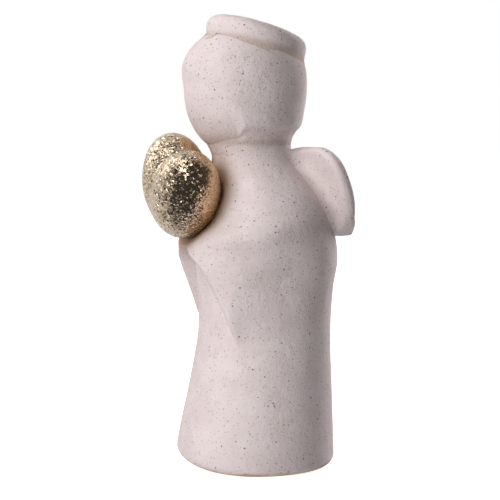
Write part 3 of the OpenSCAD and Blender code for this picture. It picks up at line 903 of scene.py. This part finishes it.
def clay_material():
    """Sandy clay with specks, painted shade in its creases and a darker tan band along the foot's lowest
    edge.
    """
    material, tree, shader = new_material("speckled clay")
    grain = use(tree, sand, Grain=0.5, Clouds=8.0)
    colour = tint(tree, grain.outputs["Cloud"], CLAY_LIGHT, CLAY_DARK)
    colour = tint(tree, ramp(tree, grain.outputs["Fine"], 0.36, 0.30, 0.0, 0.5), colour, FLECK_GREY)
    haze = use(tree, specks, Spacing=0.72, Share=0.62, Largest=0.26, Softness=0.5)
    colour = tint(tree, maths(tree, "MULTIPLY", haze.outputs[0], 0.75), colour, FLECK_GREY)
    dots = use(tree, specks, Spacing=1.7, Share=0.6, Largest=0.34, Softness=0.5)
    colour = tint(tree, maths(tree, "MULTIPLY", dots.outputs[0], 0.85), colour, SPECK_BROWN)
    # Painted shade: creases and joints turn warmer and darker, and beside the heart this is its painted
    # shadow and reflection.
    painted_shade = node(tree, "ShaderNodeAttribute", attribute_name="painted_shade").outputs["Fac"]
    colour = tint(tree, maths(tree, "MULTIPLY", painted_shade, 0.75), colour, SHADE_TAN)
    # A ragged, darker tan band along the lowest 1 to 3 mm of the foot.
    up = node(tree, "ShaderNodeSeparateXYZ", {0: in_space(tree)}).outputs["Z"]
    ragged = maths(tree, "ADD", up, maths(tree, "MULTIPLY", grain.outputs["Cloud"], 0.8 * MM))
    colour = tint(tree, ramp(tree, ragged, 0.9 * MM, 2.6 * MM, 0.95, 0.0), colour, FOOT_EDGE_TAN)
    tree.links.new(colour, shader.inputs["Base Color"])
    shader.inputs["Roughness"].default_value = 0.72
    shader.inputs["Specular IOR Level"].default_value = 0.35
    roughen(tree, shader, grain.outputs["Height"], 0.30 * MM, 1.0)
    return material


clay = clay_material()
clay_pieces = (robe, left_sleeve, right_sleeve, head, hair, halo, left_wing, right_wing)
for piece in clay_pieces:
    piece.data.materials.append(clay)
print("clay on", len(clay_pieces), "pieces")

# %% [markdown]
# ## The gilt lustre
# The heart's coat is real metal over a gritty glaze: each grain mirrors a different part of the
# room, so it sparkles white against dark brown, and towards the back it is smooth satin gold. Bump
# from noise gives soft dimples that all catch the same light. Cells that each tilt the surface
# their own way, most a little and some a lot, glint one by one.

# %% Facets: small cells that are mirrors, each tilted its own way
def facets_group():
    """Adds to the surface's normal a random step for each cell, longer in a few of them and shorter
    where it is satin. Also gives a number for each cell, which varies its colour and polish."""
    group, given, result = new_group("facets", [
        ("Cell", "NodeSocketFloat", 0.5), ("Tilt", "NodeSocketFloat", 0.5),
        ("Satin", "NodeSocketFloat", 0.0)],
        [("Normal", "NodeSocketVector"), ("Tone", "NodeSocketFloat")])
    scale = maths(group, "DIVIDE", 1 / MM, given.outputs["Cell"])
    cells = node(group, "ShaderNodeTexVoronoi", {"Vector": in_space(group), "Scale": scale})
    tone = node(group, "ShaderNodeSeparateColor", {0: node(group, "ShaderNodeTexWhiteNoise", {
        "Vector": cells.outputs["Position"]}).outputs["Color"]})
    rough = maths(group, "MULTIPLY", given.outputs["Tilt"],
                  ramp(group, given.outputs["Satin"], 0.0, 1.0, 1.0, 0.3))
    reach = maths(group, "MULTIPLY", rough, ramp(group, tone.outputs[0], 0.25, 1.0, 1.0, 6.5))
    tilt = node(group, "ShaderNodeVectorMath", {
        0: cells.outputs["Color"], 1: (0.5, 0.5, 0.5)}, operation="SUBTRACT")
    tilt = node(group, "ShaderNodeVectorMath", {0: tilt.outputs[0], "Scale": reach}, operation="SCALE")
    turned = node(group, "ShaderNodeVectorMath", {
        0: node(group, "ShaderNodeNewGeometry").outputs["Normal"], 1: tilt.outputs[0]}, operation="ADD")
    unit = node(group, "ShaderNodeVectorMath", {0: turned.outputs[0]}, operation="NORMALIZE")
    group.links.new(unit.outputs[0], result.inputs["Normal"])
    group.links.new(tone.outputs[1], result.inputs["Tone"])
    return group


facets = facets_group()
print("nodes in facets:", len(facets.nodes))

# %% Gilt material
GOLD_PALE, GOLD_BROWN, GOLD_SATIN = (0.90, 0.73, 0.54, 1), (0.50, 0.37, 0.25, 1), (0.80, 0.56, 0.32, 1)


def gilt_material():
    """Pale gold metal in tiny mirrors, some polished and pale, some duller and browner."""
    material, tree, shader = new_material("gilt lustre")
    glaze = use(tree, facets, Cell=0.45, Tilt=0.30)
    satin = node(tree, "ShaderNodeAttribute", attribute_name="satin").outputs["Fac"]
    tree.links.new(satin, glaze.inputs["Satin"])
    colour = tint(tree, glaze.outputs["Tone"], GOLD_PALE, GOLD_BROWN)
    colour = tint(tree, maths(tree, "MULTIPLY", satin, 0.75), colour, GOLD_SATIN)
    tree.links.new(colour, shader.inputs["Base Color"])
    polish = ramp(tree, glaze.outputs["Tone"], 0.0, 1.0, 0.06, 0.30)
    dulled = maths(tree, "ADD", polish, maths(tree, "MULTIPLY", satin, 0.2))
    tree.links.new(dulled, shader.inputs["Roughness"])
    shader.inputs["Metallic"].default_value = 1.0
    grit = noise(tree, in_space(tree), 1 / (0.9 * MM), 2.0)
    roughen(tree, shader, grit, 0.14 * MM, 0.5, Normal=glaze.outputs["Normal"])
    return material


heart.data.materials.append(gilt_material())
print("gilt on the heart")

# %% [markdown]
# ## The hidden pieces
# The plug, the cork pad and the dowels keep their CAD shapes, which are right as they are. They
# only show from below or when the piece is taken apart, and still get a finish each.

# %% Cork and dowel wood
def grained_material(name, light, dark, stretch, size, roughness):
    """A grained natural material: noise stretched along Z for wood, or even all round for cork."""
    material, tree, shader = new_material(name)
    place = node(tree, "ShaderNodeMapping", {"Vector": in_space(tree), "Scale": stretch})
    grain = noise(tree, place.outputs[0], 1 / (size * MM), 4.0, 0.65)
    tree.links.new(tint(tree, ramp(tree, grain, 0.35, 0.65), light, dark), shader.inputs["Base Color"])
    shader.inputs["Roughness"].default_value = roughness
    roughen(tree, shader, grain, 0.1 * MM, 0.5)
    return material


def finish_cad(name, material):
    """Gives a CAD node its material."""
    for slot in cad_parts[name].material_slots:
        slot.material = material
    print(name, "is finished in", material.name)


CORK_LIGHT, CORK_DARK = (0.52, 0.33, 0.18, 1), (0.20, 0.11, 0.055, 1)
BEECH_LIGHT, BEECH_DARK = (0.66, 0.47, 0.28, 1), (0.50, 0.33, 0.18, 1)
cork = grained_material("pressed cork", CORK_LIGHT, CORK_DARK, (1, 1, 1), 1.3, 0.9)
beech = grained_material("beech dowel", BEECH_LIGHT, BEECH_DARK, (1, 1, 0.08), 0.8, 0.6)
finish_cad("foot_pad", cork)
finish_cad("base_plug", clay)
for dowel in ("neck_dowel", "wing_dowels", "heart_dowel"):
    finish_cad(dowel, beech)

# %% [markdown]
# ## Studio
# The floor and background are plain white, and soft boxes stand round the figure: two at its front,
# three that the gilt mirrors too, one behind for the edges, and a wide one below for the floor's
# bounce. A bare white room would light it evenly, and wash out both the relief and the sparkle.

# %% Floor
FLOOR_GLOW, FLOOR_R = 0.82, 4


def pale_floor():
    """A wide white disc for the figure to stand on."""
    turn = np.linspace(0, 2 * np.pi, 64, endpoint=False)
    points = np.stack([FLOOR_R * np.cos(turn), FLOOR_R * np.sin(turn), 0 * turn], axis=1)
    mesh = bpy.data.meshes.new("floor")
    mesh.from_pydata(points.tolist(), [], [list(range(len(turn)))])
    floor = bpy.data.objects.new("floor", mesh)
    bpy.context.scene.collection.objects.link(floor)
    white, tree, shader = new_material("white floor")
    away = node(tree, "ShaderNodeVectorMath", {0: in_space(tree)}, operation="LENGTH").outputs["Value"]
    glow = tint(tree, ramp(tree, away, 0.10, 0.5), (FLOOR_GLOW,) * 3 + (1,), (1, 1, 1, 1))
    tree.links.new(glow, shader.inputs["Emission Color"])
    shader.inputs["Base Color"].default_value = (0.9, 0.9, 0.9, 1)
    shader.inputs["Roughness"].default_value = 0.9
    shader.inputs["Emission Strength"].default_value = 1.0
    floor.data.materials.append(white)
    floor.visible_diffuse = floor.visible_shadow = floor.visible_glossy = False
    return floor


pale_floor()
print("floor", FLOOR_R, "m in radius")


# %% Background
def studio_world(ambient, front, back):
    """White to the camera. The clay gets a weak even light from it. Mirrored in metal it is dark on
    the camera's side and bright behind the figure, like a room with a white backdrop."""
    world = bpy.data.worlds.new("studio")
    world.use_nodes = True
    tree = world.node_tree
    tree.nodes.clear()
    place = node(tree, "ShaderNodeTexCoord").outputs["Generated"]
    behind = direction(CAMERA_AZIMUTH - 150, 5)
    facing = node(tree, "ShaderNodeVectorMath", {0: place, 1: behind}, operation="DOT_PRODUCT")
    mirrored_room = ramp(tree, facing.outputs["Value"], -0.1, 0.85, front, back)
    path = node(tree, "ShaderNodeLightPath")
    glow = node(tree, "ShaderNodeMix", {0: path.outputs["Is Glossy Ray"], 2: ambient, 3: mirrored_room},
                data_type="FLOAT").outputs[0]
    strength = node(tree, "ShaderNodeMix", {0: path.outputs["Is Camera Ray"], 2: glow, 3: 1.0},
                    data_type="FLOAT").outputs[0]
    backdrop = node(tree, "ShaderNodeBackground", {"Color": (1, 1, 1, 1), "Strength": strength})
    tree.links.new(backdrop.outputs[0], node(tree, "ShaderNodeOutputWorld").inputs[0])
    bpy.context.scene.world = world


AMBIENT, ROOM_FRONT, ROOM_BACK = 0.07, 0.045, 0.8
studio_world(AMBIENT, ROOM_FRONT, ROOM_BACK)
bpy.context.scene.view_settings.view_transform = "Standard"
print("even light on the clay:", AMBIENT)

# %% Lights
CHEST = Vector((0, 0, 70)) * MM
# Each row: name, azimuth from the camera's, elevation, distance, width, height, watts, seen in the gilt
SOFT_BOXES = [
    ("key", -60, 20, 0.7, 0.26, 0.60, 1.9, False),
    ("key inner", -36, 10, 0.7, 0.20, 0.60, 1.4, False),
    ("front", -24, 30, 0.7, 0.13, 0.45, 1.3, True),
    ("top", -60, 62, 0.7, 0.4, 0.4, 0.8, True),
    ("back", -120, 35, 0.7, 0.4, 0.4, 0.9, True),
    ("rim", 135, 12, 0.7, 0.3, 0.5, 5.7, False),
    ("bounce", 0, -89, 0.4, 0.9, 0.9, 2.2, False)]


def soft_light(name, azimuth, elevation, distance, width, height, power, in_gilt):
    """A soft box aimed at the figure's chest."""
    light = bpy.data.objects.new(name, bpy.data.lights.new(name, "AREA"))
    light.data.shape = "RECTANGLE"
    light.data.size, light.data.size_y, light.data.energy = width, height, power
    light.visible_glossy = in_gilt
    bpy.context.scene.collection.objects.link(light)
    aim(light, CHEST + distance * direction(CAMERA_AZIMUTH + azimuth, elevation), CHEST)


for box in SOFT_BOXES:
    soft_light(*box)
print(len(SOFT_BOXES), "soft boxes,", sum(box[6] for box in SOFT_BOXES), "W in all")
